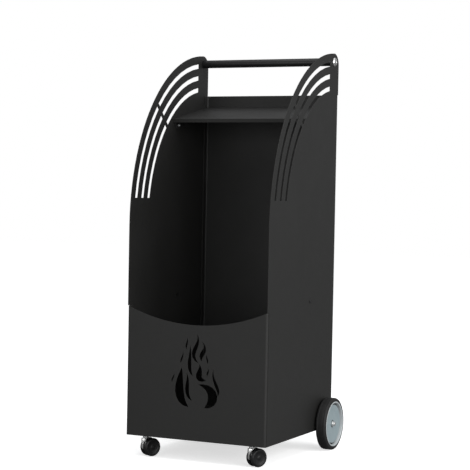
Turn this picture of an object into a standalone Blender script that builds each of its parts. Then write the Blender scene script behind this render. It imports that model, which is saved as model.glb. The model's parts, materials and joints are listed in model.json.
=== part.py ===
"""Firewood log rack on wheels: a folded sheet-steel body with an inclined tray, a grab handle,
two fixed rear wheels on a through axle and two swivelling twin-wheel casters at the front.

Metres, +Z up, +Y towards the rear. The origin is on the ground, midway between the two side panels
and midway between the front face and the rearmost point of the rear tyres.
"""

import math

import bmesh
import bpy
from mathutils import Matrix, Vector

# ---------------------------------------------------------------- sizes that can be set
GAP = 0.0003               # between two pieces that touch
SHEET = 0.0015             # steel sheet of the body
BODY_WIDTH = 0.400         # over the outer faces of the side panels
BODY_DEPTH = 0.440         # front face to rear face
BEND = 0.006               # outer radius of the folded corners
JOGGLE_EASE = 0.0002       # the step that tucks a flange behind a side panel: longer than it is deep
FLANGE = 0.022             # depth of the front and rear panels' side flanges, from the outer face

SIDE_HEIGHT = 1.019        # side panel: lower edge to crown
CROWN_SETBACK = 0.009      # side panel: top of the swept edge, in front of the rear face
SWEEP_RISE = 0.472         # side panel: half axis of the swept edge, upwards
CROWN_CORNER = 0.031       # side panel: radius of the upper rear corner
SWEEP_POINTS = 28          # points along the swept edge

SLOT_COUNT = 3             # decorative slots that follow the swept edge
SLOT_INSET = 0.022         # swept edge to the first slot
SLOT_WIDTH = 0.012
SLOT_PITCH = 0.0328
SLOT_FOOT_DROP = 0.401     # crown to the lower ends of the slots
SLOT_HEAD_SETBACK = 0.060  # rear ends of the slots, in front of the rear face
BRIDGE_WIDTH = 0.011       # band of sheet that splits every slot in two
BRIDGE_SETBACK = 0.035     # point that the band runs through: in front of the rear face ...
BRIDGE_DROP = 0.419        # ... and below the crown
BRIDGE_ANGLE = 45.6        # degrees above the horizontal
SLOT_POINTS = 8            # points along each edge of a slot

FRONT_END_HEIGHT = 0.338   # front panel: height at its two ends
FRONT_DIP = 0.0415         # front panel: how far its upper edge dips in the middle
FLAME_TIP = 0.276          # the flame's highest tip, in the flame's own measures
FLAME_DROP = 0.0205        # bottom of the dip to that tip
REAR_DROP = 0.112          # crown to the rear panel's upper edge
FLOOR_OVER_AXLE = 0.005    # floor panel's lower face above the axle
FLOOR_FLANGE = 0.020       # floor panel's turned-down edges

TRAY_DEPTH = 0.210          # tray's front edge in front of the rear face
TRAY_DROP = 0.1855          # crown to the tray's front edge
TRAY_SLOPE = 11.4           # degrees, rising to the rear
TRAY_LIP = 0.010            # turned-down edges
TAB_WIDTH = 0.030           # tabs that carry the tray
TAB_DROP = 0.031            # tray's upper face to a tab's lower end
TAB_SETBACKS = {"front": 0.025, "rear": 0.150}  # tab middles behind the tray's front edge
STUD_DROP = 0.022           # tray's upper face to the studs that hold the tabs

HANDLE_RADIUS = 0.011
HANDLE_WALL = 0.0015
HANDLE_SETBACK = 0.030     # handle's axis in front of the rear face
HANDLE_DROP = 0.0235       # handle's axis below the crown
INSERT_LENGTH = 0.018
CAP_RADIUS = 0.012         # bright cap screws that hold the handle
CAP_HEIGHT = 0.0045
CAP_SHANK_RADIUS = 0.004
CAP_SHANK_LENGTH = 0.016

STUD_RADIUS = 0.0025       # welded on the inside of the side panels, so that nothing shows outside
STUD_LENGTH = 0.0075
NUT_ACROSS_FLATS = 0.008
NUT_HEIGHT = 0.004

PLUG_SETBACK = 0.272       # blanking plugs in the side panels, behind the front face
PLUG_HEIGHT = 0.352
PLUG_RADIUS = 0.0052
PLUG_STEM_RADIUS = 0.0037
PLUG_HEAD = 0.0012
PLUG_STEM = 0.004

TYRE_RADIUS = 0.070
TYRE_WIDTH = 0.030
TYRE_SHOULDER = 0.0045
TYRE_DEPTH = 0.0095        # tread to the outside of the rim
RIM_WALL = 0.0035
RIM_RECESS = 0.0065        # face of the disc behind the rim's edge
DISC = 0.003
HUB_RADIUS = 0.0105
WHEEL_INSET = 0.059        # rear wheels' axis in front of the rear face
AXLE_RADIUS = 0.005
AXLE_EDGE = 0.012          # least width of sheet below the axle's middle
AXLE_BEYOND_HUB = 0.0045
SPACER = 0.0034
SPACER_RADIUS = 0.009
AXLE_CAP_RADIUS = 0.008
AXLE_CAP_HEIGHT = 0.0075
AXLE_CAP_WALL = 0.001

CASTER_INSET = 0.047       # swivel axes from the side panels' outer faces
CASTER_SETBACK = 0.023     # swivel axes behind the front face
CASTER_TURN = 60.0         # degrees that the stored casters are turned to
CASTER_TRAIL = 0.0145      # swivel axis to wheel axis
CASTER_RADIUS = 0.024
CASTER_TREAD = 0.011       # width of one caster wheel
CASTER_SHOULDER = 0.004
CASTER_DISH = 0.0016
WEB = 0.007                # thickness of the fork, between the wheels
SIDE_PLAY = 0.0005         # web to wheel
CASTER_AXLE_RADIUS = 0.0025
FORK_REACH = 0.0115        # swivel axis to the fork's front edge
FORK_FOOT = 0.004          # radius of the fork's rounded foot
BOSS_RADIUS = 0.0075
BOSS_HEIGHT = 0.0052
BOSS_DIP = 0.0005          # the boss's lower face below the tops of the wheels
STEM_RADIUS = 0.0055
STEM_COLLAR = 0.003
JOURNAL_RADIUS = 0.0021
JOURNAL_LENGTH = 0.010
SOCKET_WALL = 0.0022

# ---------------------------------------------------------------- sizes that follow
HALF_WIDTH = BODY_WIDTH / 2
JOGGLE = SHEET + GAP + JOGGLE_EASE
SWEEP_RUN = BODY_DEPTH - CROWN_SETBACK     # half axis of the swept edge, front to back
SLOT_FOOT = SIDE_HEIGHT - SLOT_FOOT_DROP   # heights like this one are above the body's lower edge
BRIDGE_HEIGHT = SIDE_HEIGHT - BRIDGE_DROP
REAR_HEIGHT = SIDE_HEIGHT - REAR_DROP
FRONT_MID_HEIGHT = FRONT_END_HEIGHT - FRONT_DIP
FLAME_FOOT = FRONT_MID_HEIGHT - FLAME_DROP - FLAME_TIP
WHEEL_SETBACK = BODY_DEPTH - WHEEL_INSET
FRONT_Y = -(WHEEL_SETBACK + TYRE_RADIUS) / 2
REAR_Y = FRONT_Y + BODY_DEPTH
INNER_HALF = HALF_WIDTH - SHEET - GAP      # what lies against the inside of a side panel
WHEEL_Y = FRONT_Y + WHEEL_SETBACK
WHEEL_Z = TYRE_RADIUS
GROUND_GAP = 2 * CASTER_RADIUS - BOSS_DIP + BOSS_HEIGHT + GAP + STEM_COLLAR
AXLE_HEIGHT = WHEEL_Z - GROUND_GAP
FLOOR_TOP = AXLE_HEIGHT + AXLE_RADIUS + FLOOR_OVER_AXLE + SHEET
RIM_RADIUS = TYRE_RADIUS - TYRE_DEPTH
SOCKET_RADIUS = STEM_RADIUS + GAP + SOCKET_WALL
WHEEL_X = HALF_WIDTH + GAP + SPACER + GAP  # inner face of a rear wheel
HANDLE_Y = REAR_Y - HANDLE_SETBACK
HANDLE_Z = GROUND_GAP + SIDE_HEIGHT - HANDLE_DROP
TRAY_Y = REAR_Y - TRAY_DEPTH
TRAY_Z = GROUND_GAP + SIDE_HEIGHT - TRAY_DROP
SLOPE = math.radians(TRAY_SLOPE)
CASTER_OFFSET = HALF_WIDTH - CASTER_INSET
CASTER_Y = FRONT_Y + CASTER_SETBACK
TURN = math.radians(CASTER_TURN)
STANDING = (math.pi / 2, 0, 0)             # local X, Y lie along world X, Z
SIDEWAYS = (math.pi / 2, 0, math.pi / 2)   # local X, Y lie along world Y, Z
ALONG_X = (0, math.pi / 2, 0)              # local Z lies along world X
SIDES = {"left": -1, "right": 1}

# ---------------------------------------------------------------- finishes
FINISHES = {
    "powder_coat": ((0.028, 0.028, 0.027), 0.55, 0.0),
    "tube_coat": ((0.020, 0.020, 0.020), 0.35, 0.0),
    "chrome": ((0.80, 0.81, 0.82), 0.15, 1.0),
    "zinc": ((0.72, 0.73, 0.74), 0.25, 1.0),
    "black_plastic": ((0.012, 0.012, 0.013), 0.45, 0.0),
    "tyre_rubber": ((0.014, 0.014, 0.015), 0.75, 0.0),
    "rim_plastic": ((0.36, 0.43, 0.45), 0.4, 0.0),
}


def start_clean():
    for obj in list(bpy.data.objects):
        bpy.data.objects.remove(obj)
    for name in ("firewood_log_rack", "cutters"):
        group = bpy.data.collections.new(name)
        bpy.context.scene.collection.children.link(group)


def finish_named(name):
    material = bpy.data.materials.get(name)
    if material:
        return material
    colour, roughness, metallic = FINISHES[name]
    material = bpy.data.materials.new(name)
    material.use_nodes = True
    shader = material.node_tree.nodes["Principled BSDF"]
    shader.inputs["Base Color"].default_value = (*colour, 1)
    shader.inputs["Roughness"].default_value = roughness
    shader.inputs["Metallic"].default_value = metallic
    return material


def new_object(name, mesh, finish=None):
    """A part of the rack, or a cutter when it has no finish."""
    obj = bpy.data.objects.new(name, mesh)
    if finish:
        bpy.data.collections["firewood_log_rack"].objects.link(obj)
        mesh.materials.append(finish_named(finish))
    else:
        bpy.data.collections["cutters"].objects.link(obj)
        obj.hide_render = True
        obj.display_type = "WIRE"
    return obj


def place(obj, location, rotation=(0, 0, 0)):
    obj.location = location
    obj.rotation_euler = rotation
    return obj


def evaluated(drawn):
    """The finished mesh of a drawn curve or profile, which is then removed."""
    bpy.context.scene.collection.objects.link(drawn)
    graph = bpy.context.evaluated_depsgraph_get()
    mesh = bpy.data.meshes.new_from_object(drawn.evaluated_get(graph))
    bpy.data.objects.remove(drawn)
    shape = bmesh.new()
    shape.from_mesh(mesh)
    bmesh.ops.remove_doubles(shape, verts=shape.verts, dist=1e-6)
    bmesh.ops.recalc_face_normals(shape, faces=shape.faces)
    shape.to_mesh(mesh)
    shape.free()
    return mesh


# ---------------------------------------------------------------- outlines
def circle(radius, middle=(0, 0), points=24):
    turns = [2 * math.pi * i / points for i in range(points)]
    return [(middle[0] + radius * math.cos(a), middle[1] + radius * math.sin(a)) for a in turns]


def arc(middle, radius, start, end, points):
    """Points on an arc, with its angles in degrees."""
    angles = [math.radians(start + (end - start) * i / (points - 1)) for i in range(points)]
    return [(middle[0] + radius * math.cos(a), middle[1] + radius * math.sin(a)) for a in angles]


def strip(path, thickness):
    """The closed outline of a sheet of this thickness that follows the path."""
    points = [Vector(p) for p in path]
    left, right = [], []
    for i, point in enumerate(points):
        before = (point - points[i - 1]).normalized() if i else None
        after = (points[i + 1] - point).normalized() if i + 1 < len(points) else None
        before, after = before or after, after or before
        across = Vector((-before.y, before.x)) + Vector((-after.y, after.x))
        across = across.normalized() * (thickness / 2)
        across /= max(0.5, across.normalized().dot(Vector((-after.y, after.x))))
        left.append(tuple(point + across))
        right.append(tuple(point - across))
    return left + right[::-1]


def flat_plate(name, outlines, thickness, finish=None):
    """A plate in its local XY plane: the first outline is its edge, the others are holes in it."""
    curve = bpy.data.curves.new(name, "CURVE")
    curve.dimensions = "2D"
    curve.fill_mode = "BOTH"
    curve.extrude = thickness / 2
    for outline in outlines:
        spline = curve.splines.new("POLY")
        spline.points.add(len(outline) - 1)
        for point, (x, y) in zip(spline.points, outline):
            point.co = (x, y, 0, 1)
        spline.use_cyclic_u = True
    return new_object(name, evaluated(bpy.data.objects.new(name + "_outline", curve)), finish)


def turned(name, profile, finish=None, steps=24):
    """A turned piece about its local Z. The profile of (radius, height) runs down the outer side,
    and back up the bore if there is one."""
    mesh = bpy.data.meshes.new(name)
    shape = bmesh.new()
    points = [shape.verts.new((radius, 0, height)) for radius, height in profile]
    for first, second in zip(points, points[1:]):
        shape.edges.new((first, second))
    if profile[0][0] > 0:
        shape.edges.new((points[-1], points[0]))
    shape.to_mesh(mesh)
    shape.free()
    drawn = bpy.data.objects.new(name + "_profile", mesh)
    screw = drawn.modifiers.new("turn", "SCREW")
    screw.angle = 2 * math.pi
    screw.steps = steps
    screw.render_steps = steps
    screw.use_merge_vertices = True
    screw.merge_threshold = 1e-5
    solid = evaluated(drawn)
    solid.shade_smooth()
    solid.set_sharp_from_angle(angle=math.radians(35))
    return new_object(name, solid, finish)


def ring_profile(outer, inner, low, high):
    """The profile of a plain ring or bush."""
    return [(outer, high), (outer, low), (inner, low), (inner, high)]


def block(name, size, middle, finish=None):
    mesh = bpy.data.meshes.new(name)
    shape = bmesh.new()
    bmesh.ops.create_cube(shape, size=1, matrix=Matrix.Translation(middle) @ Matrix.Diagonal((*size, 1)))
    shape.to_mesh(mesh)
    shape.free()
    return new_object(name, mesh, finish)


def rod(name, radius, length, finish=None, segments=24):
    """A rod centred on its origin, along its local Z."""
    mesh = bpy.data.meshes.new(name)
    shape = bmesh.new()
    bmesh.ops.create_cone(
        shape, cap_ends=True, segments=segments, radius1=radius, radius2=radius, depth=length
    )
    shape.to_mesh(mesh)
    shape.free()
    mesh.shade_smooth()
    mesh.set_sharp_from_angle(angle=math.radians(40))
    return new_object(name, mesh, finish)


def pan(name, low, high, depth, finish):
    """A sheet with its four edges turned down, from corner low to corner high in its local XY plane."""
    mesh = bpy.data.meshes.new(name)
    shape = bmesh.new()
    size = (high[0] - low[0], high[1] - low[1], depth)
    middle = ((high[0] + low[0]) / 2, (high[1] + low[1]) / 2, -depth / 2)
    bmesh.ops.create_cube(shape, size=1, matrix=Matrix.Translation(middle) @ Matrix.Diagonal((*size, 1)))
    bottom = [face for face in shape.faces if face.normal.z < -0.9]
    bmesh.ops.delete(shape, geom=bottom, context="FACES_ONLY")
    shape.to_mesh(mesh)
    shape.free()
    obj = new_object(name, mesh, finish)
    wall = obj.modifiers.new("sheet", "SOLIDIFY")
    wall.thickness = SHEET
    wall.offset = -1
    wall.use_even_offset = True
    return obj


def combine(obj, other, operation="DIFFERENCE"):
    boolean = obj.modifiers.new(other.name, "BOOLEAN")
    boolean.operation = operation
    boolean.object = other
    return obj


# ---------------------------------------------------------------- side panels
def swept_point(angle, inset=0.0):
    """A point of the swept edge, or of a line at this distance inside it, as (behind the front face,
    above the body's lower edge). The angle runs from 0 at its foot to pi / 2 at its crown."""
    across, up = math.cos(angle), math.sin(angle)
    point = Vector((SWEEP_RUN * (1 - across), SIDE_HEIGHT - SWEEP_RISE * (1 - up)))
    inward = Vector((across * SWEEP_RISE, -up * SWEEP_RUN)).normalized()
    return point + inset * inward


def angle_where(measure, inset, value):
    """The angle at which a measure of the inset line's point, which grows with the angle, has this value."""
    low, high = 0.0, math.pi / 2
    for _ in range(50):
        middle = (low + high) / 2
        if measure(swept_point(middle, inset)) < value:
            low = middle
        else:
            high = middle
    return low


def slot_outline(inset, start, end):
    """A piece of slot between two square cuts, each given as (measure, value)."""
    edges = []
    for distance in (inset, inset + SLOT_WIDTH):
        first = angle_where(start[0], distance, start[1])
        last = angle_where(end[0], distance, end[1])
        angles = [first + (last - first) * i / (SLOT_POINTS - 1) for i in range(SLOT_POINTS)]
        edges.append([tuple(swept_point(angle, distance)) for angle in angles])
    return edges[0] + edges[1][::-1]


def slot_outlines():
    """Every slot follows the swept edge and is split by one straight band of sheet."""
    lean = math.radians(BRIDGE_ANGLE)
    anchor = Vector((BODY_DEPTH - BRIDGE_SETBACK, BRIDGE_HEIGHT))
    across = Vector((math.sin(lean), math.cos(lean)))

    def past_bridge(point):
        return (point - anchor).dot(across)

    foot = (lambda point: point.y, SLOT_FOOT)
    head = (lambda point: point.x, BODY_DEPTH - SLOT_HEAD_SETBACK)
    below = (past_bridge, -BRIDGE_WIDTH / 2)
    above = (past_bridge, BRIDGE_WIDTH / 2)
    insets = [SLOT_INSET + i * SLOT_PITCH for i in range(SLOT_COUNT)]
    return [slot_outline(i, foot, below) for i in insets] + [slot_outline(i, above, head) for i in insets]


def side_outline():
    """The edge of a side panel, notched where the corners of the front and rear panels lie. On small
    wheels the axle sits low, and an ear goes down to keep enough sheet around it."""
    notch_front = BEND + JOGGLE + GAP
    notch_rear = BODY_DEPTH - BEND - JOGGLE - GAP
    corner_y = BODY_DEPTH - CROWN_CORNER
    last = angle_where(lambda point: point.x, 0, corner_y)
    sweep = [tuple(swept_point(last * i / (SWEEP_POINTS - 1))) for i in range(SWEEP_POINTS)]
    corner = arc((corner_y, sweep[-1][1] - CROWN_CORNER), CROWN_CORNER, 90, 0, 9)[1:]
    ear = []
    if AXLE_HEIGHT < AXLE_EDGE:
        low = AXLE_HEIGHT - AXLE_EDGE
        reach = AXLE_EDGE - low
        ear = [(WHEEL_SETBACK + reach, 0), (WHEEL_SETBACK + AXLE_EDGE, low),
               (WHEEL_SETBACK - AXLE_EDGE, low), (WHEEL_SETBACK - reach, 0)]
    lower = [(notch_rear, REAR_HEIGHT + GAP), (notch_rear, 0), *ear, (notch_front, 0)]
    return (
        [(notch_front, FRONT_END_HEIGHT + GAP), (0, FRONT_END_HEIGHT + GAP)]
        + sweep + corner + [(BODY_DEPTH, REAR_HEIGHT + GAP)] + lower
    )


def stud_places():
    """Where the tray's studs stand, as (y, z) of their axes."""
    places = {}
    for end, setback in TAB_SETBACKS.items():
        y = TRAY_Y + setback * math.cos(SLOPE) + STUD_DROP * math.sin(SLOPE)
        z = TRAY_Z + setback * math.sin(SLOPE) - STUD_DROP * math.cos(SLOPE)
        places[end] = (y, z)
    return places


def side_panel(side):
    holes = [
        circle(CAP_SHANK_RADIUS + GAP, (BODY_DEPTH - HANDLE_SETBACK, SIDE_HEIGHT - HANDLE_DROP)),
        circle(PLUG_STEM_RADIUS + GAP, (PLUG_SETBACK, PLUG_HEIGHT), 16),
        circle(AXLE_RADIUS + GAP, (WHEEL_SETBACK, AXLE_HEIGHT)),
    ]
    panel = flat_plate("side_panel_" + side, [side_outline(), *slot_outlines(), *holes], SHEET, "powder_coat")
    return place(panel, (SIDES[side] * (HALF_WIDTH - SHEET / 2), FRONT_Y, GROUND_GAP), SIDEWAYS)


# ---------------------------------------------------------------- front and rear panels
def channel_outline():
    """A folded panel seen from above, with its face at y = 0: round corners, then flanges that step in
    by one sheet to lie behind the side panels."""
    middle = SHEET / 2
    outer = HALF_WIDTH - middle
    tucked = INNER_HALF - middle
    corner = arc((HALF_WIDTH - BEND, BEND), BEND - middle, -90, 0, 6)
    right = corner + [(tucked, BEND + JOGGLE), (tucked, FLANGE)]
    left = [(-x, y) for x, y in reversed(right)]
    assert outer > tucked
    return strip(left + right, SHEET)


def folded_panel(name, height, facing):
    """A channel as high as the panel, facing forwards (1) or backwards (-1)."""
    panel = flat_plate(name, [channel_outline()], height, "powder_coat")
    y = FRONT_Y if facing > 0 else REAR_Y
    return place(panel, (0, y, GROUND_GAP + height / 2), (0, 0, 0 if facing > 0 else math.pi))


def tongue(base, pull_base, pull_tip, tip, width, points=9):
    """A flame tongue: a leaf that swells around a curved spine and ends in two points. Millimetres,
    as (across from the middle, above the flame's foot)."""
    base, pull_base, pull_tip, tip = (Vector(p) / 1000 for p in (base, pull_base, pull_tip, tip))
    left, right = [], []
    for i in range(points + 1):
        t = i / points
        s = 1 - t
        spine = s ** 3 * base + 3 * s * s * t * pull_base + 3 * s * t * t * pull_tip + t ** 3 * tip
        along = s * s * (pull_base - base) + 2 * s * t * (pull_tip - pull_base) + t * t * (tip - pull_tip)
        across = Vector((-along.y, along.x)).normalized()
        half = width / 2000 * math.sin(math.pi * t ** 0.8)
        left.append(tuple(spine + half * across))
        right.append(tuple(spine - half * across))
    return left + right[-2:0:-1]


def flame_outlines():
    """A generic flame of separate tongues, so that every part of the sheet around them stays joined."""
    return [
        tongue((9, 199), (-30, 226), (22, 246), (2, 276), 11),
        tongue((18, 205), (6, 226), (40, 230), (18, 256), 12),
        tongue((-7, 166), (-26, 186), (-12, 214), (-16, 245), 10),
        tongue((-26, 233), (-31, 244), (-21, 252), (-25, 264), 5),
        tongue((-43, 197), (-42, 208), (-35, 214), (-36, 228), 4.5),
        tongue((33, 200), (38, 208), (28, 214), (32, 224), 4.5),
        tongue((35, 168), (30, 174), (41, 180), (35, 190), 4.5),
        tongue((-18, 86), (-60, 106), (-42, 156), (-39, 187), 25),
        tongue((-8, 102), (-36, 122), (-14, 150), (-25, 174), 11),
        tongue((-66, 147), (-70, 155), (-60, 160), (-60, 171), 4),
        tongue((31, 157), (-8, 158), (22, 178), (11, 198), 17),
        tongue((64, 119), (75, 137), (42, 158), (52, 188), 9),
        tongue((27, 86), (67, 106), (52, 142), (9, 146), 27),
    ]


def front_panel():
    panel = folded_panel("front_panel", FRONT_END_HEIGHT, 1)
    reach = FLANGE * 3
    dip = FRONT_END_HEIGHT - FRONT_MID_HEIGHT
    radius = (HALF_WIDTH ** 2 + dip ** 2) / (2 * dip)
    half_angle = 1.05 * math.degrees(math.asin(HALF_WIDTH / radius))
    sag = arc((0, FRONT_MID_HEIGHT + radius), radius, -90 - half_angle, -90 + half_angle, 27)
    above = FRONT_END_HEIGHT + dip
    above_the_dip = [(sag[0][0], above), *sag, (sag[-1][0], above)]
    cuts = {"front_dip": above_the_dip}
    cuts.update({f"flame_{i}": outline for i, outline in enumerate(flame_outlines())})
    for name, outline in cuts.items():
        thickness, foot = (reach, 0) if name == "front_dip" else (BEND, FLAME_FOOT)
        cutter = flat_plate(name, [outline], thickness)
        combine(panel, place(cutter, (0, FRONT_Y, GROUND_GAP + foot), STANDING))


def rear_panel():
    folded_panel("rear_panel", REAR_HEIGHT, -1)


# ---------------------------------------------------------------- floor and tray
def notch(obj, name, side, y_low, y_high, z):
    """Cuts a corner away where the flange of the front or rear panel passes."""
    inner = HALF_WIDTH - BEND
    size = (HALF_WIDTH - inner, y_high - y_low, 2 * z)
    cutter = block(name, size, (side * (HALF_WIDTH + inner) / 2, (y_high + y_low) / 2, z))
    combine(obj, cutter)


def floor_panel():
    front = FRONT_Y + SHEET + GAP
    rear = REAR_Y - SHEET - GAP
    floor = pan("floor_panel", (-INNER_HALF, front), (INNER_HALF, rear), FLOOR_FLANGE, "powder_coat")
    place(floor, (0, 0, GROUND_GAP + FLOOR_TOP))
    top = GROUND_GAP + FLOOR_TOP
    for side, sign in SIDES.items():
        notch(floor, f"floor_notch_front_{side}", sign, FRONT_Y, FRONT_Y + FLANGE + GAP, top)
        notch(floor, f"floor_notch_rear_{side}", sign, REAR_Y - FLANGE - GAP, REAR_Y, top)
    hole = rod("floor_axle_hole", AXLE_RADIUS + GAP, BODY_WIDTH)
    combine(floor, place(hole, (0, WHEEL_Y, WHEEL_Z), ALONG_X))


def tray_shelf():
    """The tray's own frame has its origin in the middle of the front edge, on the upper face."""
    length = (REAR_Y - SHEET - GAP - TRAY_Y) / math.cos(SLOPE) - TRAY_LIP * math.tan(SLOPE)
    tray = pan("tray_shelf", (-INNER_HALF, 0), (INNER_HALF, length), TRAY_LIP, "powder_coat")
    place(tray, (0, TRAY_Y, TRAY_Z), (SLOPE, 0, 0))
    for side, sign in SIDES.items():
        for end, setback in TAB_SETBACKS.items():
            x = sign * (INNER_HALF - SHEET / 2)
            start = TRAY_LIP / 2
            middle = (x, setback, -(start + TAB_DROP) / 2)
            tab = block(f"tray_tab_{end}_{side}", (SHEET, TAB_WIDTH, TAB_DROP - start), middle)
            place(tab, tray.location, tray.rotation_euler)
            combine(tray, tab, "UNION")
        notch(tray, f"tray_notch_{side}", sign, REAR_Y - FLANGE - GAP, REAR_Y, TRAY_Z)
    for end, (y, z) in stud_places().items():
        hole = rod("stud_hole_" + end, STUD_RADIUS + GAP, BODY_WIDTH, segments=12)
        combine(tray, place(hole, (0, y, z), ALONG_X))


def tray_fasteners(side):
    sign = SIDES[side]
    nut_corner = NUT_ACROSS_FLATS / 2 / math.cos(math.pi / 6)
    for end, (y, z) in stud_places().items():
        stud = rod(f"tray_stud_{end}_{side}", STUD_RADIUS, STUD_LENGTH, "zinc", 12)
        place(stud, (sign * (INNER_HALF - STUD_LENGTH / 2), y, z), ALONG_X)
        outline = [circle(nut_corner, points=6), circle(STUD_RADIUS + GAP, points=12)]
        nut = flat_plate(f"tray_nut_{end}_{side}", outline, NUT_HEIGHT, "zinc")
        place(nut, (sign * (INNER_HALF - SHEET - GAP - NUT_HEIGHT / 2), y, z), ALONG_X)


# ---------------------------------------------------------------- handle and plugs
def handle():
    half = INNER_HALF
    bore = HANDLE_RADIUS - HANDLE_WALL
    tube = turned("handle_tube", ring_profile(HANDLE_RADIUS, bore, -half, half), "tube_coat")
    place(tube, (0, HANDLE_Y, HANDLE_Z), ALONG_X)
    for side, sign in SIDES.items():
        turn = (0, sign * math.pi / 2, 0)
        insert = ring_profile(bore - GAP, CAP_SHANK_RADIUS + GAP, -INSERT_LENGTH, 0)
        place(turned("handle_insert_" + side, insert, "zinc"), (sign * half, HANDLE_Y, HANDLE_Z), turn)
        dome = [(CAP_RADIUS * math.sin(a), CAP_HEIGHT * math.cos(a)) for a in quarter_turn(4)]
        shank = [(CAP_SHANK_RADIUS, 0), (CAP_SHANK_RADIUS, -CAP_SHANK_LENGTH), (0, -CAP_SHANK_LENGTH)]
        cap = turned("handle_screw_" + side, dome + shank, "chrome")
        place(cap, (sign * (HALF_WIDTH + GAP), HANDLE_Y, HANDLE_Z), turn)


def quarter_turn(steps):
    return [math.pi / 2 * i / steps for i in range(steps + 1)]


def side_plug(side):
    profile = [
        (0, PLUG_HEAD),
        (PLUG_RADIUS - PLUG_HEAD / 2, PLUG_HEAD),
        (PLUG_RADIUS, 0),
        (PLUG_STEM_RADIUS, 0),
        (PLUG_STEM_RADIUS, -PLUG_STEM),
        (0, -PLUG_STEM),
    ]
    sign = SIDES[side]
    spot = (sign * (HALF_WIDTH + GAP), FRONT_Y + PLUG_SETBACK, GROUND_GAP + PLUG_HEIGHT)
    place(turned("side_plug_" + side, profile, "black_plastic", 16), spot, (0, sign * math.pi / 2, 0))


# ---------------------------------------------------------------- rear wheels
def rear_axle():
    half = WHEEL_X + TYRE_WIDTH - RIM_RECESS + AXLE_BEYOND_HUB
    place(rod("axle_rod", AXLE_RADIUS, 2 * half, "zinc"), (0, WHEEL_Y, WHEEL_Z), ALONG_X)
    return half


def rear_wheel(side, axle_half):
    """Local Z points away from the body, with z = 0 at the inner face of the wheel."""
    sign = SIDES[side]
    turn = (0, sign * math.pi / 2, 0)
    centre = (sign * WHEEL_X, WHEEL_Y, WHEEL_Z)
    bead = RIM_RADIUS + GAP
    s = TYRE_SHOULDER
    outer_shoulder = arc((TYRE_RADIUS - s, TYRE_WIDTH - s), s, 90, 0, 4)
    inner_shoulder = arc((TYRE_RADIUS - s, s), s, 0, -90, 4)
    tyre = [(bead, TYRE_WIDTH), *outer_shoulder, *inner_shoulder, (bead, 0)]
    place(turned("wheel_tyre_" + side, tyre, "tyre_rubber", 40), centre, turn)

    face = TYRE_WIDTH - RIM_RECESS
    back = face - DISC
    bore = AXLE_RADIUS + GAP
    well = RIM_RADIUS - RIM_WALL
    rim = [
        (well, TYRE_WIDTH), (RIM_RADIUS, TYRE_WIDTH), (RIM_RADIUS, GAP), (well, GAP),
        (well, back), (HUB_RADIUS, back), (HUB_RADIUS, 0), (bore, 0),
        (bore, face + GAP), (HUB_RADIUS, face + GAP), (HUB_RADIUS + GAP, face), (well, face),
    ]
    place(turned("wheel_rim_" + side, rim, "rim_plastic", 40), centre, turn)

    spacer = ring_profile(SPACER_RADIUS, bore, 0, SPACER)
    spacer_x = sign * (HALF_WIDTH + GAP)
    place(turned("axle_spacer_" + side, spacer, "black_plastic"), (spacer_x, WHEEL_Y, WHEEL_Z), turn)

    cap_start = WHEEL_X + face + 2 * GAP
    end = axle_half + GAP - cap_start
    dome = [
        (AXLE_CAP_RADIUS * math.sin(a), end + (AXLE_CAP_HEIGHT - end) * math.cos(a))
        for a in quarter_turn(4)
    ]
    cap = dome + [(AXLE_CAP_RADIUS, 0), (bore, 0), (bore, end), (0, end)]
    assert AXLE_CAP_HEIGHT - end > AXLE_CAP_WALL
    place(turned("axle_cap_" + side, cap, "chrome", 20), (sign * cap_start, WHEEL_Y, WHEEL_Z), turn)


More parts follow.
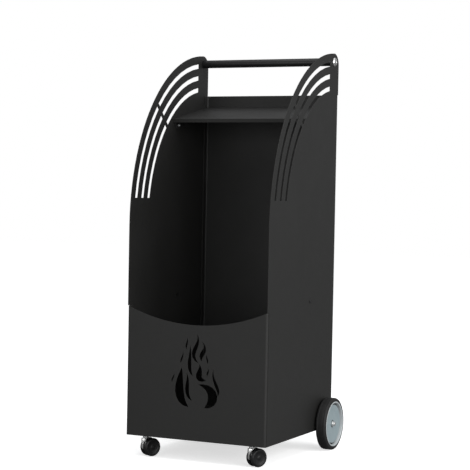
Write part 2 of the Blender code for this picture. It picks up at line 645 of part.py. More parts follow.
# ---------------------------------------------------------------- casters
def caster(side):
    """A caster's own frame is at its swivel axis, on the ground, with its wheels trailing along +X.
    The empty turns it to the direction it is stored in."""
    swivel = bpy.data.objects.new("caster_swivel_" + side, None)
    bpy.data.collections["firewood_log_rack"].objects.link(swivel)
    place(swivel, (SIDES[side] * CASTER_OFFSET, CASTER_Y, 0), (0, 0, TURN))

    seat = GROUND_GAP - STEM_COLLAR       # lower face of the stem's collar
    boss_low = seat - GAP - BOSS_HEIGHT
    floor_under = GROUND_GAP + FLOOR_TOP - SHEET
    wheel_at = (CASTER_TRAIL, 0, CASTER_RADIUS)

    def add(obj, location=(0, 0, 0), rotation=(0, 0, 0)):
        obj.parent = swivel
        return place(obj, location, rotation)

    socket = ring_profile(SOCKET_RADIUS, STEM_RADIUS + GAP, GROUND_GAP + GAP, floor_under - GAP)
    add(turned("caster_socket_" + side, socket, "powder_coat"))

    top = floor_under - GAP - SHEET
    stem = [
        (0, top), (STEM_RADIUS - GAP, top), (STEM_RADIUS, top - SHEET), (STEM_RADIUS, GROUND_GAP),
        (SOCKET_RADIUS, GROUND_GAP), (SOCKET_RADIUS, seat), (JOURNAL_RADIUS, seat),
        (JOURNAL_RADIUS, seat - JOURNAL_LENGTH), (0, seat - JOURNAL_LENGTH),
    ]
    add(turned("caster_stem_" + side, stem, "zinc"))

    fork = rod("caster_fork_" + side, BOSS_RADIUS, BOSS_HEIGHT, "chrome")
    add(fork, (0, 0, boss_low + BOSS_HEIGHT / 2))
    combine(fork, add(fork_web(side, boss_low), wheel_at, STANDING), "UNION")
    journal_hole = rod("journal_hole_" + side, JOURNAL_RADIUS + GAP, 2 * (JOURNAL_LENGTH + GAP))
    combine(fork, add(journal_hole, (0, 0, seat)))
    axle_hole = rod("caster_axle_hole_" + side, CASTER_AXLE_RADIUS + GAP, 2 * WEB)
    combine(fork, add(axle_hole, wheel_at, STANDING))

    inner_face = WEB / 2 + SIDE_PLAY
    axle_length = 2 * (inner_face + CASTER_TREAD - CASTER_DISH - 2 * GAP)
    add(rod("caster_axle_" + side, CASTER_AXLE_RADIUS, axle_length, "zinc"), wheel_at, STANDING)
    for end, facing in (("front", 1), ("rear", -1)):
        wheel = turned(f"caster_wheel_{side}_{end}", caster_wheel_profile(), "black_plastic", 28)
        spot = (CASTER_TRAIL, -facing * inner_face, CASTER_RADIUS)
        add(wheel, spot, (facing * math.pi / 2, 0, 0))


def caster_wheel_profile():
    """z = 0 is the face beside the web, and the outer face is dished."""
    s = CASTER_SHOULDER
    outer = arc((CASTER_RADIUS - s, CASTER_TREAD - s), s, 90, 0, 3)
    inner = arc((CASTER_RADIUS - s, s), s, 0, -90, 3)
    rim = CASTER_RADIUS - CASTER_SHOULDER - CASTER_DISH / 2
    hub = CASTER_AXLE_RADIUS * 2.2
    dish = CASTER_TREAD - CASTER_DISH
    bore = CASTER_AXLE_RADIUS + GAP
    return [
        (bore, dish + CASTER_DISH / 2), (hub, dish + CASTER_DISH / 2), (hub + GAP, dish),
        (rim - CASTER_DISH, dish), (rim, CASTER_TREAD), *outer, *inner, (bore, 0),
    ]


def fork_web(side, boss_low):
    """The plate between the two wheels, seen along the axle with its origin on the axle."""
    head = boss_low + BOSS_HEIGHT / 2 - CASTER_RADIUS
    back = BOSS_RADIUS - CASTER_TRAIL
    front = -FORK_REACH - CASTER_TRAIL
    foot = arc((front + FORK_FOOT, 0), FORK_FOOT, 180, 270, 5)
    hub = arc((0, 0), CASTER_AXLE_RADIUS * 2.6, 270, 390, 6)
    return flat_plate("fork_web_" + side, [[(back, head), (front, head), *foot, *hub]], WEB)


def build():
    start_clean()
    front_panel()
    rear_panel()
    floor_panel()
    tray_shelf()
    handle()
    axle_half = rear_axle()
    for side in SIDES:
        side_panel(side)
        tray_fasteners(side)
        side_plug(side)
        rear_wheel(side, axle_half)
        caster(side)


build()
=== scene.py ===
# %% [markdown]
# # A firewood log rack on wheels
# The rack is a tall box of folded sheet steel, open at the front, with a black powder coat.
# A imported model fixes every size, hole and joint. This lesson gives each piece its finish,
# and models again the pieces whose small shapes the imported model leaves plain.

import json
from math import cos, pi, radians, sin

import bmesh
import bpy
from mathutils import Matrix, Vector


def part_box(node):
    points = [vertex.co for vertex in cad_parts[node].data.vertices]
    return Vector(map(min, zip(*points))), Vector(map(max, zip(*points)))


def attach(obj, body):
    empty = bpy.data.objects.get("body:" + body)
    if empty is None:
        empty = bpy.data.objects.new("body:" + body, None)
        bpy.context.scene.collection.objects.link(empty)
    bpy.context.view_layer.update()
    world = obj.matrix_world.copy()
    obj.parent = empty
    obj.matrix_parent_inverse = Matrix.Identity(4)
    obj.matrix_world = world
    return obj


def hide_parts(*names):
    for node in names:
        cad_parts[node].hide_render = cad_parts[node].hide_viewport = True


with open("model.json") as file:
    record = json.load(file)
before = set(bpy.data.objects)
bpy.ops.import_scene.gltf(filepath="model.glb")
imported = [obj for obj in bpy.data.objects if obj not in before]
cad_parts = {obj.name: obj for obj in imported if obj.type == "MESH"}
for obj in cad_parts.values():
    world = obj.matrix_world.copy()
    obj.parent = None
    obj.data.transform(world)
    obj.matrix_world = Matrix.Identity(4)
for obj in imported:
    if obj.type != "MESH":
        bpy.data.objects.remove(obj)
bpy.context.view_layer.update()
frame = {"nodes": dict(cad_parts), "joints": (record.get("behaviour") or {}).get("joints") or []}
SIDES = {"left": -1, "right": 1}
joints = {joint["name"]: joint for joint in frame["joints"]}
print("packed nodes:", len(frame["nodes"]), "joints:", len(joints))

# %% [markdown]
# ## Camera
# The rack is seen from its front right, from about four metres away and at about two thirds
# of its height. A long lens keeps the upright edges nearly parallel. The camera also leans by one
# degree. It is built from three turns in a row: round the upright, then the tilt, then the lean.

# %% Camera
EYE = Vector((1.7888, -3.7545, 0.7086))
TURN_ROUND = radians(25.506)
TILT_DOWN = radians(1.791)
LEAN = radians(1.079)
LENS = 119.1
SENSOR = 36.0


def add_camera():
    data = bpy.data.cameras.new("camera")
    data.lens = LENS
    data.sensor_width = SENSOR
    data.dof.use_dof = False
    camera = bpy.data.objects.new("camera", data)
    bpy.context.scene.collection.objects.link(camera)
    turn = Matrix.Rotation(TURN_ROUND, 4, "Z")
    tilt = Matrix.Rotation(pi / 2 - TILT_DOWN, 4, "X")
    lean = Matrix.Rotation(LEAN, 4, "Z")
    camera.matrix_world = Matrix.Translation(EYE) @ turn @ tilt @ lean
    bpy.context.scene.camera = camera
    return camera


print("camera at", tuple(round(value, 3) for value in add_camera().location))

# %% [markdown]
# ## Floor and light
# Black paint shows its shape only by what it reflects, so the light is large and soft: panels
# hang overhead and stand round the rack, in a dim white room. Against a backdrop as bright as
# paper, the paint would look grey, because it would mirror the backdrop. So a Light Path node
# tells the sight of the floor and the room apart from the light that they give: they look white,
# and light the rack only a little. The floor keeps the rack's soft contact shadow.

# %% Floor and light
FILL = 0.40
FLOOR_TONE = (0.30, 0.30, 0.30, 1)
FLOOR_GLOW = 0.62
FLOOR_HALF_WIDTH = 12
FLOOR_DROP = 0.0005
SOFT_PANELS = {
    # name: (place, point it faces, width and height, watts)
    "overhead": ((0.3, -0.6, 3.2), (0.0, 0.0, 0.4), (3.2, 3.2), 38),
    "right": ((3.4, -0.7, 1.5), (0.2, 0.0, 0.6), (1.6, 2.4), 58),
    "right front": ((2.8, -2.8, 1.2), (0.1, -0.1, 0.6), (1.6, 2.0), 48),
    "front": ((-0.6, -3.8, 0.9), (0.0, -0.2, 0.6), (2.4, 1.8), 20),
}


def add_world():
    world = bpy.data.worlds.new("studio")
    world.use_nodes = True
    nodes, links = world.node_tree.nodes, world.node_tree.links
    nodes.clear()
    ray = nodes.new("ShaderNodeLightPath")
    fill = nodes.new("ShaderNodeBackground")
    backdrop = nodes.new("ShaderNodeBackground")
    mix = nodes.new("ShaderNodeMixShader")
    output = nodes.new("ShaderNodeOutputWorld")
    fill.inputs["Color"].default_value = (0.97, 0.985, 1.0, 1)
    fill.inputs["Strength"].default_value = FILL
    backdrop.inputs["Color"].default_value = (1, 1, 1, 1)
    links.new(ray.outputs["Is Camera Ray"], mix.inputs["Fac"])
    links.new(fill.outputs[0], mix.inputs[1])
    links.new(backdrop.outputs[0], mix.inputs[2])
    links.new(mix.outputs[0], output.inputs["Surface"])
    bpy.context.scene.world = world


def add_soft_panel(name, place, target, size, watts):
    data = bpy.data.lights.new(name, "AREA")
    data.shape = "RECTANGLE"
    data.size, data.size_y = size
    data.energy = watts
    light = bpy.data.objects.new(name, data)
    light.location = place
    light.rotation_euler = (Vector(target) - Vector(place)).to_track_quat("-Z", "Y").to_euler()
    bpy.context.scene.collection.objects.link(light)


def floor_paint():
    """Dull grey to the light, and near white to the eye."""
    paint = bpy.data.materials.new("studio_floor")
    paint.use_nodes = True
    nodes, links = paint.node_tree.nodes, paint.node_tree.links
    nodes.clear()
    ray = nodes.new("ShaderNodeLightPath")
    dull = nodes.new("ShaderNodeBsdfDiffuse")
    white = nodes.new("ShaderNodeBsdfDiffuse")
    glow = nodes.new("ShaderNodeEmission")
    lit = nodes.new("ShaderNodeAddShader")
    mix = nodes.new("ShaderNodeMixShader")
    output = nodes.new("ShaderNodeOutputMaterial")
    dull.inputs["Color"].default_value = FLOOR_TONE
    white.inputs["Color"].default_value = (1, 1, 1, 1)
    glow.inputs["Strength"].default_value = FLOOR_GLOW
    links.new(white.outputs[0], lit.inputs[0])
    links.new(glow.outputs[0], lit.inputs[1])
    links.new(ray.outputs["Is Camera Ray"], mix.inputs["Fac"])
    links.new(dull.outputs[0], mix.inputs[1])
    links.new(lit.outputs[0], mix.inputs[2])
    links.new(mix.outputs[0], output.inputs["Surface"])
    return paint


def add_floor():
    mesh = bpy.data.meshes.new("studio_floor")
    shape = bmesh.new()
    bmesh.ops.create_grid(shape, x_segments=1, y_segments=1, size=FLOOR_HALF_WIDTH)
    shape.to_mesh(mesh)
    shape.free()
    floor = bpy.data.objects.new("studio_floor", mesh)
    floor.location.z = -FLOOR_DROP
    bpy.context.scene.collection.objects.link(floor)
    mesh.materials.append(floor_paint())


add_world()
for panel, facts in SOFT_PANELS.items():
    add_soft_panel(panel, *facts)
add_floor()
bpy.context.scene.view_settings.view_transform = "Standard"
print("soft panels:", ", ".join(SOFT_PANELS))

# %% [markdown]
# ## Finishes
# Every finish is a Principled shader with a few procedural textures on Object coordinates, which
# are metres here, so a noise scale of 1000 has grains of about a millimetre. One helper makes the
# shader, one a noise, one turns a noise into a colour or a number, and one into a bump.

# %% Helpers for finishes
def new_finish(name, roughness=0.5, metallic=0.0, specular=0.5):
    material = bpy.data.materials.new(name)
    material.use_nodes = True
    shader = material.node_tree.nodes["Principled BSDF"]
    shader.inputs["Roughness"].default_value = roughness
    shader.inputs["Metallic"].default_value = metallic
    shader.inputs["Specular IOR Level"].default_value = specular
    place = material.node_tree.nodes.new("ShaderNodeTexCoord")
    place.name = "place"
    return material, material.node_tree, shader


def noise(tree, scale, detail=2.0, roughness=0.5, stretch=None):
    """A noise on Object coordinates, stretched along an axis where that is asked for."""
    texture = tree.nodes.new("ShaderNodeTexNoise")
    texture.inputs["Scale"].default_value = scale
    texture.inputs["Detail"].default_value = detail
    texture.inputs["Roughness"].default_value = roughness
    start = tree.nodes["place"].outputs["Object"]
    if stretch:
        mapping = tree.nodes.new("ShaderNodeMapping")
        mapping.inputs["Scale"].default_value = stretch
        tree.links.new(start, mapping.inputs["Vector"])
        start = mapping.outputs["Vector"]
    tree.links.new(start, texture.inputs["Vector"])
    return texture.outputs["Fac"]


def spread(tree, value, low, high, to_low, to_high):
    """Maps a value from one range to another."""
    node = tree.nodes.new("ShaderNodeMapRange")
    ends = {"From Min": low, "From Max": high, "To Min": to_low, "To Max": to_high}
    for key, number in ends.items():
        node.inputs[key].default_value = number
    tree.links.new(value, node.inputs["Value"])
    return node.outputs["Result"]


def tint(tree, value, first, second):
    """A colour between two, as the value goes from 0 to 1."""
    node = tree.nodes.new("ShaderNodeMix")
    node.data_type = "RGBA"
    node.inputs["A"].default_value = (*first, 1)
    node.inputs["B"].default_value = (*second, 1)
    tree.links.new(value, node.inputs["Factor"])
    return node.outputs["Result"]


def bumped(tree, shader, layers):
    """Stacks bumps on the shader. Each layer is (height, depth in metres)."""
    normal = None
    for height, depth in layers:
        bump = tree.nodes.new("ShaderNodeBump")
        bump.inputs["Strength"].default_value = 1.0
        bump.inputs["Distance"].default_value = depth
        tree.links.new(height, bump.inputs["Height"])
        if normal:
            tree.links.new(normal, bump.inputs["Normal"])
        normal = bump.outputs["Normal"]
    tree.links.new(normal, shader.inputs["Normal"])


# %% [markdown]
# ## Powder coat
# Powder is sprayed on dry and melts in an oven. It leaves a fine pebbled skin, pebbles about half
# a millimetre across, over long shallow waves. The tone is a warm black. Handling polishes it in
# soft patches, so the roughness wanders a little. Edges get a paler colour as a painted highlight,
# and a Bevel node finds them: where its rounded normal leaves the true one, there is an edge.

# %% Powder coat
PATCHES, PEBBLES, WAVES = 7, 1700, 160
WAVE_DEPTH = 0.00006
EDGE_HIGHLIGHT_RADIUS = 0.0006


def edge_share(tree, radius):
    """1 on an edge and 0 away from it, from how far a rounded normal leaves the true one."""
    rounded = tree.nodes.new("ShaderNodeBevel")
    rounded.samples = 4
    rounded.inputs["Radius"].default_value = radius
    true = tree.nodes.new("ShaderNodeNewGeometry")
    dot = tree.nodes.new("ShaderNodeVectorMath")
    dot.operation = "DOT_PRODUCT"
    tree.links.new(rounded.outputs["Normal"], dot.inputs[0])
    tree.links.new(true.outputs["Normal"], dot.inputs[1])
    return spread(tree, dot.outputs["Value"], 0.99, 0.75, 0, 1)


def powder_coat(name, dark, pale, edge_highlight_tone, roughness, pebble):
    material, tree, shader = new_finish(name, roughness, 0.0, 0.42)
    patches = noise(tree, PATCHES, 4, 0.6)
    grain = noise(tree, PEBBLES, 2, 0.6)
    waves = noise(tree, WAVES, 2)
    speckle = tint(tree, spread(tree, grain, 0.35, 0.7, 0, 1), dark, pale)
    # painted highlight: a paler colour on every edge that the Bevel node finds
    painted_edge_highlight = tree.nodes.new("ShaderNodeMix")
    painted_edge_highlight.data_type = "RGBA"
    painted_edge_highlight.inputs["B"].default_value = (*edge_highlight_tone, 1)
    tree.links.new(edge_share(tree, EDGE_HIGHLIGHT_RADIUS), painted_edge_highlight.inputs["Factor"])
    tree.links.new(speckle, painted_edge_highlight.inputs["A"])
    tree.links.new(painted_edge_highlight.outputs["Result"], shader.inputs["Base Color"])
    polish = spread(tree, patches, 0.3, 0.7, roughness - 0.05, roughness + 0.05)
    tree.links.new(polish, shader.inputs["Roughness"])
    bumped(tree, shader, [(waves, WAVE_DEPTH), (grain, pebble)])
    return material


BODY_COAT = powder_coat(
    "powder_coat_black", dark=(0.0085, 0.0085, 0.0080), pale=(0.0185, 0.0182, 0.0172),
    edge_highlight_tone=(0.045, 0.044, 0.042), roughness=0.56, pebble=0.00010,
)
TUBE_COAT = powder_coat(
    "tube_coat_black", dark=(0.0075, 0.0075, 0.0075), pale=(0.0115, 0.0115, 0.0115),
    edge_highlight_tone=(0.03, 0.03, 0.03), roughness=0.36, pebble=0.00003,
)
print("coats:", BODY_COAT.name, TUBE_COAT.name)

# %% [markdown]
# ## Bright and moulded parts
# The forks and the handle's screws are nickel plated: a metal shader with hardly any roughness and
# faint buffing lines. The pressed axle caps are duller. Axle, studs and nuts are zinc, whose
# crystals show as patches of different shine, so a Voronoi texture drives the roughness. The rims
# are pale blue-grey plastic with a satin grain, and the tyres and caster wheels are black.

# %% Bright parts
def nickel(name, smooth, rough):
    material, tree, shader = new_finish(name, rough, 1.0)
    lines = noise(tree, 500, 3, 0.6, stretch=(1, 1, 0.15))
    cloud = noise(tree, 60, 3)
    shade = tint(tree, spread(tree, cloud, 0.3, 0.7, 0, 1), (0.70, 0.70, 0.69), (0.88, 0.88, 0.87))
    tree.links.new(shade, shader.inputs["Base Color"])
    tree.links.new(spread(tree, lines, 0.3, 0.7, smooth, rough), shader.inputs["Roughness"])
    bumped(tree, shader, [(lines, 0.000004)])
    return material


def zinc(name):
    material, tree, shader = new_finish(name, 0.35, 1.0)
    crystals = tree.nodes.new("ShaderNodeTexVoronoi")
    crystals.inputs["Scale"].default_value = 420
    tree.links.new(tree.nodes["place"].outputs["Object"], crystals.inputs["Vector"])
    shade = tint(tree, crystals.outputs["Distance"], (0.50, 0.51, 0.53), (0.66, 0.67, 0.68))
    tree.links.new(shade, shader.inputs["Base Color"])
    shine = spread(tree, crystals.outputs["Distance"], 0, 0.8, 0.26, 0.46)
    tree.links.new(shine, shader.inputs["Roughness"])
    bumped(tree, shader, [(noise(tree, 900), 0.000015)])
    return material


NICKEL = nickel("nickel_plate", 0.09, 0.24)
DULL_NICKEL = nickel("dull_nickel_plate", 0.30, 0.42)
ZINC = zinc("zinc_plate")

# %% Moulded parts
def moulded(name, first, second, roughness, grain, depth, specular=0.5):
    """A moulded plastic or rubber: two tones in a slow cloud, and a fine grain in the surface."""
    material, tree, shader = new_finish(name, roughness, 0.0, specular)
    cloud = noise(tree, 45, 4, 0.6)
    fine = noise(tree, grain, 2)
    shade = tint(tree, spread(tree, cloud, 0.3, 0.7, 0, 1), first, second)
    shine = spread(tree, fine, 0.3, 0.7, roughness - 0.06, roughness + 0.06)
    tree.links.new(shade, shader.inputs["Base Color"])
    tree.links.new(shine, shader.inputs["Roughness"])
    bumped(tree, shader, [(fine, depth)])
    return material


RUBBER = moulded(
    "tyre_rubber", (0.0085, 0.0085, 0.0088), (0.0150, 0.0150, 0.0150), 0.62, 1500, 0.00005, 0.40
)
RIM = moulded("rim_plastic", (0.285, 0.355, 0.380), (0.325, 0.395, 0.415), 0.42, 1200, 0.00002)
LIP = moulded("rim_lip_plastic", (0.46, 0.50, 0.51), (0.54, 0.57, 0.58), 0.30, 1200, 0.00001)
BLACK_PLASTIC = moulded(
    "black_plastic", (0.0048, 0.0048, 0.0050), (0.0075, 0.0075, 0.0077), 0.40, 1300, 0.00003, 0.34
)
print("finishes made:", len(bpy.data.materials))

# %% [markdown]
# ## Helpers for shapes
# A turned piece is a profile of (radius, height) points that is spun round its axis. Real turned
# and moulded corners are never quite sharp, so `rounded` replaces each inner corner of a profile
# by a few points on a small curve. `finish_piece` turns the bmesh into an object at the origin,
# lets it ride on its body, and hides the imported nodes that it stands for.

# %% Helpers for shapes
def rounded(profile, radius, steps=3):
    """The profile with every inner corner cut back by up to this radius and curved."""
    points = [Vector((r, 0, h)) for r, h in profile]
    result = [points[0]]
    for before, corner, after in zip(points, points[1:], points[2:]):
        reach = min(radius, (before - corner).length / 2.2, (after - corner).length / 2.2)
        start = corner + (before - corner).normalized() * reach
        end = corner + (after - corner).normalized() * reach
        for i in range(steps + 1):
            t = i / steps
            result.append((1 - t) ** 2 * start + 2 * t * (1 - t) * corner + t * t * end)
    return result + [points[-1]]


def spun(profile, place, steps=64, closed=False):
    """A bmesh of the profile spun round its own Z, then put in place by a matrix."""
    shape = bmesh.new()
    verts = [shape.verts.new(point) for point in profile]
    for first, second in zip(verts, verts[1:]):
        shape.edges.new((first, second))
    if closed:
        shape.edges.new((verts[-1], verts[0]))
    bmesh.ops.spin(
        shape, geom=shape.verts[:] + shape.edges[:], cent=(0, 0, 0), axis=(0, 0, 1),
        angle=2 * pi, steps=steps, use_merge=True,
    )
    bmesh.ops.remove_doubles(shape, verts=shape.verts, dist=1e-6)
    bmesh.ops.transform(shape, matrix=place, verts=shape.verts)
    bmesh.ops.recalc_face_normals(shape, faces=shape.faces)
    return shape


def finish_piece(shape, name, material, body, replaces=(), sharp=50):
    mesh = bpy.data.meshes.new(name)
    shape.to_mesh(mesh)
    shape.free()
    mesh.shade_smooth()
    mesh.set_sharp_from_angle(angle=radians(sharp))
    for entry in material if isinstance(material, list) else [material]:
        mesh.materials.append(entry)
    piece = bpy.data.objects.new(name, mesh)
    bpy.context.scene.collection.objects.link(piece)
    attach(piece, body)
    if replaces:
        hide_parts(*replaces)
    return piece


def even_shading(piece):
    """Keeps large flat faces flat beside small curved ones."""
    modifier = piece.modifiers.new("even_shading", "WEIGHTED_NORMAL")
    modifier.keep_sharp = True


def lies_along(axis, place):
    """A matrix that turns local Z to the axis and moves the origin to the place."""
    turn = Vector(axis).to_track_quat("Z", "Y").to_matrix().to_4x4()
    return Matrix.Translation(place) @ turn


# %% [markdown]
# ## Sheet panels
# The panels are laser cut, folded and then coated, and the coat rounds every cut edge. The packed
# panels have perfectly sharp edges, which catch no light. So each sheet is copied, its loose
# triangles are merged into whole faces, and its sharp edges get a bevel of a third of a millimetre.
# The copy is the real sheet with soft edges, with every slot and hole where it was.

# %% Sheet panels
SHEETS = {
    "front_panel": "front_sheet",
    "rear_panel": "rear_sheet",
    "floor_panel": "floor_sheet",
    "tray_shelf": "tray_sheet",
    "side_panel_left": "left_side_sheet",
    "side_panel_right": "right_side_sheet",
}
COAT_RADIUS = 0.0003


def softened(node, radius, corner=40):
    """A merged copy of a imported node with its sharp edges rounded."""
    shape = bmesh.new()
    shape.from_mesh(frame["nodes"][node].data)
    bmesh.ops.remove_doubles(shape, verts=shape.verts, dist=1e-6)
    bmesh.ops.dissolve_limit(
        shape, angle_limit=radians(0.5), use_dissolve_boundaries=False,
        verts=shape.verts, edges=shape.edges,
    )
    joined = [e for e in shape.edges if len(e.link_faces) == 2]
    sharp = [e for e in joined if e.calc_face_angle() > radians(corner)]
    bmesh.ops.bevel(
        shape, geom=sharp, offset=radius, offset_type="OFFSET", affect="EDGES",
        segments=2, profile=0.5, material=-1, clamp_overlap=False,
    )
    return shape


for node, name in SHEETS.items():
    shape = softened(node, COAT_RADIUS)
    sheet = finish_piece(shape, name, BODY_COAT, "rack", [node])
    even_shading(sheet)
    print(name, len(sheet.data.polygons), "faces")

# %% [markdown]
# ## Handle
# The handle is a plain steel tube between the side panels, held by a bright domed screw through
# each of them. The screws have a shallow dimple that centres the driver.

# %% Handle
TUBE_WALL = 0.0015
SCREW_SEAT = 0.2003
SCREW_SHANK = 0.004
DIMPLE_FLOOR, DIMPLE_RIM, DIMPLE_DEPTH = 0.0022, 0.0031, 0.0011
SCREW_BRIM = 0.0006


def handle_tube():
    low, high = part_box("handle_tube")
    radius = (high.z - low.z) / 2
    middle = (low + high) / 2
    half = high.x
    bore = radius - TUBE_WALL
    profile = [(bore, -half), (radius, -half), (radius, half), (bore, half)]
    ring = rounded([profile[-1], *profile, profile[0]], 0.0004)[1:-1]
    shape = spun(ring, lies_along((1, 0, 0), middle), 72, closed=True)
    finish_piece(shape, "grip_tube", TUBE_COAT, "rack", ["handle_tube"])


def handle_screw(side):
    low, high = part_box("handle_screw_" + side)
    sign = SIDES[side]
    radius = (high.z - low.z) / 2
    under = sign * SCREW_SEAT
    tip = low.x if sign > 0 else high.x
    crown = high.x if sign > 0 else low.x
    height, shank = abs(crown - under), abs(under - tip)
    dimple = height - DIMPLE_DEPTH
    profile = [(0, dimple), (DIMPLE_FLOOR, dimple), (DIMPLE_RIM, height)]
    for a in (0.45, 0.8, 1.15, 1.4):
        profile.append((DIMPLE_RIM + (radius - DIMPLE_RIM) * sin(a), height * cos(a)))
    profile += [(radius, SCREW_BRIM), (radius, 0), (SCREW_SHANK, 0), (SCREW_SHANK, -shank), (0, -shank)]
    place = lies_along((sign, 0, 0), (under, (low.y + high.y) / 2, (low.z + high.z) / 2))
    shape = spun(rounded(profile, 0.0003), place, 48)
    finish_piece(shape, f"{side}_domed_screw", NICKEL, "rack", ["handle_screw_" + side])


handle_tube()
for side in SIDES:
    handle_screw(side)
print("handle made")

# %% [markdown]
# ## Rear wheels
# A rear wheel is a hard rubber tyre on a moulded rim. The tyre has rounded shoulders, two fine
# grooves round the tread and a raised bead beside the rim. The rim is a closed disc, dished
# towards the hub and sunk behind a pale lip. A deep groove parts the disc from the lip, and a
# small one rings the axle cap. Their faces get the black finish as painted shade for these recesses.
# Ribs stand only on the hidden side.

# %% Rear wheels
TURNS = 128
RIBS, RIB_THICKNESS, RIB_HEIGHT = 8, 0.0020, 0.0125
# radial bounds of the two grooves whose faces get the black finish as painted shade
PAINTED_SHADE_BY_LIP = (0.0518, 0.0558)
PAINTED_SHADE_BY_CAP = (0.0083, 0.0101)


def wheel_place(side):
    low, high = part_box("wheel_tyre_" + side)
    inner = low.x if SIDES[side] > 0 else high.x
    centre = (inner, (low.y + high.y) / 2, (low.z + high.z) / 2)
    return lies_along((SIDES[side], 0, 0), centre), (high.z - low.z) / 2, high.x - low.x


def tyre(side):
    place, radius, width = wheel_place(side)
    bead = 0.0608
    groove = radius - 0.0005
    half = [
        (bead, width / 2), (bead, 0.0004), (0.0628, 0.0), (0.0640, 0.0008), (0.0655, 0.0009),
        (radius - 0.0012, 0.0024), (radius - 0.0001, 0.0050), (radius, 0.0078), (groove, 0.0082),
        (groove, 0.0088), (radius, 0.0092), (radius, width / 2),
    ]
    mirrored = [(r, width - h) for r, h in reversed(half)]
    ring = rounded([*half, *mirrored[1:]], 0.0016)
    shape = spun(ring[:-1], place, TURNS, closed=True)
    body, node = "rear_wheel_" + side, "wheel_tyre_" + side
    finish_piece(shape, f"{side}_tyre", RUBBER, body, [node], sharp=60)


def rim(side):
    place, radius, width = wheel_place(side)
    outer, well, bore, hub = 0.0605, 0.0570, 0.0053, 0.0105
    face = width - 0.0066
    profile = [
        (bore, width / 2), (bore, face + 0.0002), (0.0083, face + 0.0002), (0.0084, face - 0.0016),
        (0.0100, face - 0.0016), (0.0108, face - 0.0002), (0.0150, face - 0.0008), (0.0350, face - 0.0002),
        (0.0515, face + 0.0014), (0.0525, face - 0.0026), (0.0556, face - 0.0026),
        (well - 0.0004, width - 0.0012), (well + 0.0008, width), (outer, width - 0.0003),
        (outer, 0.0004), (well, 0.0004), (0.0552, face - 0.0048), (0.0520, face - 0.0036),
        (hub + 0.002, face - 0.0044), (hub, face - 0.0060), (hub, 0.0), (bore, 0.0),
    ]
    ring = rounded([*profile, profile[0]], 0.0008)
    shape = spun(ring[:-1], place, TURNS, closed=True)
    start, end = hub - 0.001, well + 0.0005
    size = Matrix.Diagonal((end - start, RIB_THICKNESS, RIB_HEIGHT, 1))
    at = Matrix.Translation(((end + start) / 2, 0, face - 0.0030 - RIB_HEIGHT / 2))
    for i in range(RIBS):
        turn = Matrix.Rotation(2 * pi * i / RIBS, 4, "Z")
        bmesh.ops.create_cube(shape, size=1, matrix=place @ turn @ at @ size)
    body, node = "rear_wheel_" + side, "wheel_rim_" + side
    piece = finish_piece(shape, f"{side}_rim", [RIM, LIP, BLACK_PLASTIC], body, [node])
    for polygon in piece.data.polygons:
        away = polygon.center - place.translation
        off_axis = (away.y ** 2 + away.z ** 2) ** 0.5
        depth = abs(away.x)
        # painted shade: faces in the groove by the lip and the groove round the cap get the black finish
        shade_by_lip_mask = PAINTED_SHADE_BY_LIP[0] < off_axis < PAINTED_SHADE_BY_LIP[1] and face - 0.0028 < depth < face + 0.0004
        shade_by_cap_mask = PAINTED_SHADE_BY_CAP[0] < off_axis < PAINTED_SHADE_BY_CAP[1] and face - 0.0018 < depth < face
        if off_axis > well - 0.0016 and depth > face:
            polygon.material_index = 1
        elif shade_by_lip_mask or shade_by_cap_mask:
            polygon.material_index = 2


def axle_cap(side):
    low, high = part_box("axle_cap_" + side)
    sign = SIDES[side]
    radius, height = (high.z - low.z) / 2, high.x - low.x
    base = low.x if sign > 0 else high.x
    dome, drop = 0.0060, 0.0033
    profile = [(0, height)]
    profile += [(dome * sin(a), height - drop + drop * cos(a)) for a in (0.4, 0.8, 1.2)]
    profile += [
        (0.0062, height - 0.0036), (0.0063, 0.0016), (0.0070, 0.0009), (radius, 0.0007),
        (radius, 0.0), (0.0053, 0.0), (0.0053, 0.0042), (0, 0.0042),
    ]
    place = lies_along((sign, 0, 0), (base, (low.y + high.y) / 2, (low.z + high.z) / 2))
    shape = spun(rounded(profile, 0.0004), place, 48)
    finish_piece(shape, f"{side}_axle_cap", DULL_NICKEL, "rack", ["axle_cap_" + side])


for side in SIDES:
    tyre(side)
    rim(side)
    axle_cap(side)
print("rear wheels made")

# %% [markdown]
# ## Casters
# Each caster is a plated fork between two small wheels. The fork is a boss that turns on the stem
# and a plate that reaches down its front edge to the axle, where it ends in a rounded foot. The
# wheels are moulded with a crowned tread, a stepped face and a hub cap that hides the axle.

# %% Caster forks
FORK_REACH = 0.0115
FORK_THICKNESS = 0.007
FORK_TOE = 0.004
STEM_BORE = 0.0024


def caster_frame(side):
    """A matrix on the wheels' axle: X to the rear of the caster, Z along the axle."""
    joint = joints[f"caster_{side}_front_spin"]
    axle = Vector(joint["axis"]).normalized()
    back = Vector((0, 0, 1)).cross(axle)
    turn = Matrix((back, Vector((0, 0, 1)), axle)).transposed().to_4x4()
    return Matrix.Translation(joint["pos_m"]) @ turn


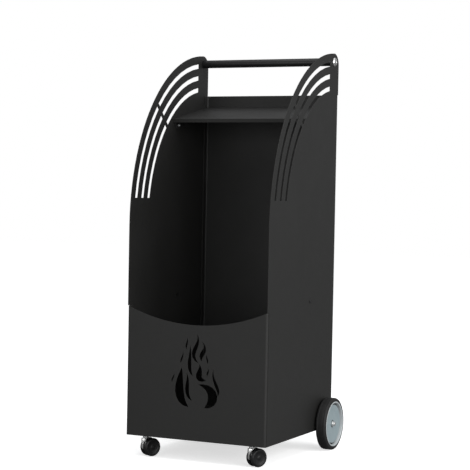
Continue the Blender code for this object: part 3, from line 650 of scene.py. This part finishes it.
def fork(side):
    low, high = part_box("caster_fork_" + side)
    place = caster_frame(side)
    axle_height = place.translation.z
    swivel = Vector(joints[f"caster_{side}_swivel"]["pos_m"])
    trail = (place.inverted() @ Vector((swivel.x, swivel.y, axle_height))).x
    top = high.z - axle_height
    boss, boss_low = 0.0075, top - 0.0052
    front, thick, toe = trail - FORK_REACH, FORK_THICKNESS, FORK_TOE
    outline = [(trail + boss, boss_low + 0.001), (front, boss_low + 0.001), (front, 0.0)]
    outline += [(front + toe - toe * cos(a), -toe * sin(a)) for a in (0.4, 0.8, 1.2, pi / 2)]
    outline += [(-0.002, -0.0062), (0.003, -0.0056), (0.0062, -0.0018), (0.0062, 0.0022)]
    shape = bmesh.new()
    face = shape.faces.new([shape.verts.new((x, y, -thick / 2)) for x, y in outline])
    top_side = bmesh.ops.extrude_face_region(shape, geom=[face])
    moved = [v for v in top_side["geom"] if isinstance(v, bmesh.types.BMVert)]
    bmesh.ops.translate(shape, verts=moved, vec=(0, 0, thick))
    bmesh.ops.recalc_face_normals(shape, faces=shape.faces)
    edges = [e for e in shape.edges if e.calc_face_angle() > radians(60)]
    bmesh.ops.bevel(
        shape, geom=edges, offset=0.0009, affect="EDGES",
        segments=3, profile=0.5, material=-1, clamp_overlap=True,
    )
    bmesh.ops.transform(shape, matrix=place, verts=shape.verts)
    plate = bpy.data.meshes.new("plate")
    shape.to_mesh(plate)
    shape.free()
    collar = [
        (STEM_BORE, high.z), (boss - 0.0008, high.z), (boss, high.z - 0.0008), (boss, high.z - 0.0034),
        (boss - 0.0008, high.z - 0.0042), (boss - 0.0014, high.z - 0.0052), (STEM_BORE, high.z - 0.0052),
    ]
    ring = rounded([*collar, collar[0]], 0.0004)
    shape = spun(ring[:-1], Matrix.Translation((swivel.x, swivel.y, 0)), 48, closed=True)
    shape.from_mesh(plate)
    body, node = "caster_" + side, "caster_fork_" + side
    finish_piece(shape, f"{side}_caster_fork", NICKEL, body, [node], sharp=40)


# %% Caster wheels
HALF_GAP = 0.0040


def caster_wheel(side, end):
    radius, bore = 0.024, 0.0028
    profile = [
        (0, 0.0101), (0.0040, 0.0099), (0.0054, 0.0093), (0.0058, 0.0086), (0.0068, 0.0084),
        (0.0130, 0.0089), (0.0150, 0.0095), (0.0156, 0.0104), (0.0185, 0.0109), (0.0203, 0.0107),
        (0.0226, 0.0090), (0.0238, 0.0068), (radius, 0.0048), (0.0236, 0.0028), (0.0222, 0.0010),
        (0.0200, 0.0), (bore, 0.0), (bore, 0.0091), (0, 0.0091),
    ]
    place = caster_frame(side) @ Matrix.Rotation(0 if end == "front" else pi, 4, "X")
    place = place @ Matrix.Translation((0, 0, HALF_GAP))
    shape = spun(rounded(profile, 0.0007), place, 72)
    name, node = f"{side}_caster_{end}_wheel", f"caster_wheel_{side}_{end}"
    body = f"caster_{side}_{end}_wheel"
    finish_piece(shape, name, BLACK_PLASTIC, body, [node], sharp=60)


for side in SIDES:
    fork(side)
    for end in ("front", "rear"):
        caster_wheel(side, end)
print("casters made")

# %% [markdown]
# ## Small hardware
# The nuts are hexagons with chamfered corners, so they get the same softening as the sheets, with
# a wider bevel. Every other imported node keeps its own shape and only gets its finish.

# %% Tray nuts
NUT_CHAMFER = 0.00035

for side in SIDES:
    for end in ("front", "rear"):
        node, name = f"tray_nut_{end}_{side}", f"{side}_{end}_tray_nut"
        nut = finish_piece(softened(node, NUT_CHAMFER), name, ZINC, "rack", [node])
        even_shading(nut)
print("tray nuts made:", 2 * len(SIDES))

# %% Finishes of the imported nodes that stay
CARRIED_OVER = {
    "handle_insert": ZINC,
    "tray_stud": ZINC,
    "side_plug": BLACK_PLASTIC,
    "axle_rod": ZINC,
    "axle_spacer": BLACK_PLASTIC,
    "caster_socket": BODY_COAT,
    "caster_stem": ZINC,
    "caster_axle": ZINC,
}
for node, packed in frame["nodes"].items():
    for start, material in CARRIED_OVER.items():
        if node.startswith(start):
            for entry in packed.material_slots:
                entry.material = material
print("carried-over finishes set")
